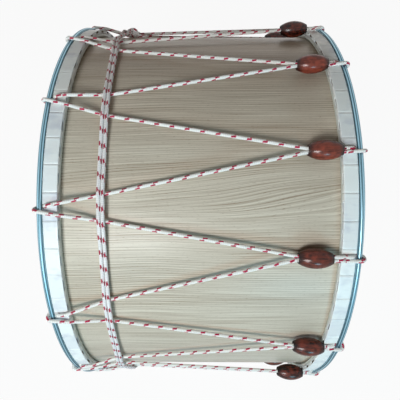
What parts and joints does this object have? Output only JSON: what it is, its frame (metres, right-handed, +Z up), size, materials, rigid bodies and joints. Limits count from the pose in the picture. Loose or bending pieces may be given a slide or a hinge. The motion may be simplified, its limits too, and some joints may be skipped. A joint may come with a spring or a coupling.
{
  "type": "rope-tensioned bass drum",
  "caption": "Cylindrical two-headed bass drum: wood shell, skins lapped over hoops, steel tension rings, zigzag cord lacing and sliding wooden tuning beads.",
  "frame": {"origin": "centre of the footprint of the drum lying on its side, on the surface that it lies on", "axes": "+X along the drum's axis towards the head with the beads, +Z up"},
  "size_m": [0.325, 0.5444, 0.5421],
  "materials": {
    "shell_wood": "pale straight-grained veneer, satin lacquer",
    "inner_wood": "bare bent wood",
    "skin": "smooth white drum skin",
    "skin_tabs": "smooth white drum skin, lapped",
    "steel": "round rod, zinc bright",
    "cord": "braided white cord with crimson flecks",
    "bead_wood": "turned hardwood, reddish-brown gloss lacquer"
  },
  "bodies": {
    "drum": {"shell": "shell_wood", "left_reinforcing_ring": "inner_wood", "left_head": "skin", "left_flesh_hoop": "inner_wood", "left_hoop_tabs": "skin_tabs", "left_tension_ring": "steel", "left_cord_loops": "cord", "right_reinforcing_ring": "inner_wood", "right_head": "skin", "right_flesh_hoop": "inner_wood", "right_hoop_tabs": "skin_tabs", "right_tension_ring": "steel", "right_cord_loops": "cord", "cord_run_01": "cord", "cord_run_02": "cord", "cord_run_03": "cord", "cord_run_04": "cord", "cord_run_05": "cord", "cord_run_06": "cord", "cord_run_07": "cord", "cord_run_08": "cord", "cord_run_09": "cord", "cord_run_10": "cord", "cord_run_11": "cord", "cord_run_12": "cord", "cord_run_13": "cord", "cord_run_14": "cord", "cord_run_15": "cord", "girdle_cord": "cord", "girdle_knot": "cord"},
    "bead_01": {"bead_01": "bead_wood"},
    "bead_02": {"bead_02": "bead_wood"},
    "bead_03": {"bead_03": "bead_wood"},
    "bead_04": {"bead_04": "bead_wood"},
    "bead_05": {"bead_05": "bead_wood"},
    "bead_06": {"bead_06": "bead_wood"},
    "bead_07": {"bead_07": "bead_wood"},
    "bead_08": {"bead_08": "bead_wood"},
    "bead_09": {"bead_09": "bead_wood"},
    "bead_10": {"bead_10": "bead_wood"},
    "bead_11": {"bead_11": "bead_wood"},
    "bead_12": {"bead_12": "bead_wood"},
    "bead_13": {"bead_13": "bead_wood"},
    "bead_14": {"bead_14": "bead_wood"},
    "bead_15": {"bead_15": "bead_wood"}
  },
  "joints": [
    {"name": "bead_01_slide", "type": "slide", "parent": "drum", "child": "bead_01", "axis": [-0.9988, 0, -0.0497], "range_m": [0, 0.034], "deforming": ["cord_run_01"]},
    {"name": "bead_02_slide", "type": "slide", "parent": "drum", "child": "bead_02", "axis": [-0.9988, -0.0196, -0.0456], "range_m": [0, 0.034], "deforming": ["cord_run_02"]},
    {"name": "bead_03_slide", "type": "slide", "parent": "drum", "child": "bead_03", "axis": [-0.9988, -0.0362, -0.034], "range_m": [0, 0.034], "deforming": ["cord_run_03"]},
    {"name": "bead_04_slide", "type": "slide", "parent": "drum", "child": "bead_04", "axis": [-0.9988, -0.0472, -0.0153], "range_m": [0, 0.034], "deforming": ["cord_run_04"]},
    {"name": "bead_05_slide", "type": "slide", "parent": "drum", "child": "bead_05", "axis": [-0.9988, -0.0494, 0.0052], "range_m": [0, 0.034], "deforming": ["cord_run_05"]},
    {"name": "bead_06_slide", "type": "slide", "parent": "drum", "child": "bead_06", "axis": [-0.9988, -0.043, 0.0248], "range_m": [0, 0.034], "deforming": ["cord_run_06"]},
    {"name": "bead_07_slide", "type": "slide", "parent": "drum", "child": "bead_07", "axis": [-0.9988, -0.0292, 0.0402], "range_m": [0, 0.034], "deforming": ["cord_run_07"]},
    {"name": "bead_08_slide", "type": "slide", "parent": "drum", "child": "bead_08", "axis": [-0.9988, -0.0103, 0.0486], "range_m": [0, 0.034], "deforming": ["cord_run_08"]},
    {"name": "bead_09_slide", "type": "slide", "parent": "drum", "child": "bead_09", "axis": [-0.9988, 0.0103, 0.0486], "range_m": [0, 0.034], "deforming": ["cord_run_09"]},
    {"name": "bead_10_slide", "type": "slide", "parent": "drum", "child": "bead_10", "axis": [-0.9988, 0.0292, 0.0402], "range_m": [0, 0.034], "deforming": ["cord_run_10"]},
    {"name": "bead_11_slide", "type": "slide", "parent": "drum", "child": "bead_11", "axis": [-0.9988, 0.043, 0.0248], "range_m": [0, 0.034], "deforming": ["cord_run_11"]},
    {"name": "bead_12_slide", "type": "slide", "parent": "drum", "child": "bead_12", "axis": [-0.9988, 0.0494, 0.0052], "range_m": [0, 0.034], "deforming": ["cord_run_12"]},
    {"name": "bead_13_slide", "type": "slide", "parent": "drum", "child": "bead_13", "axis": [-0.9988, 0.0471, -0.0157], "range_m": [0, 0.034], "deforming": ["cord_run_13"]},
    {"name": "bead_14_slide", "type": "slide", "parent": "drum", "child": "bead_14", "axis": [-0.9988, 0.0373, -0.0328], "range_m": [0, 0.034], "deforming": ["cord_run_14"]},
    {"name": "bead_15_slide", "type": "slide", "parent": "drum", "child": "bead_15", "axis": [-0.9988, 0.0193, -0.0457], "range_m": [-0.0085, 0.0255], "deforming": ["cord_run_15"]}
  ]
}
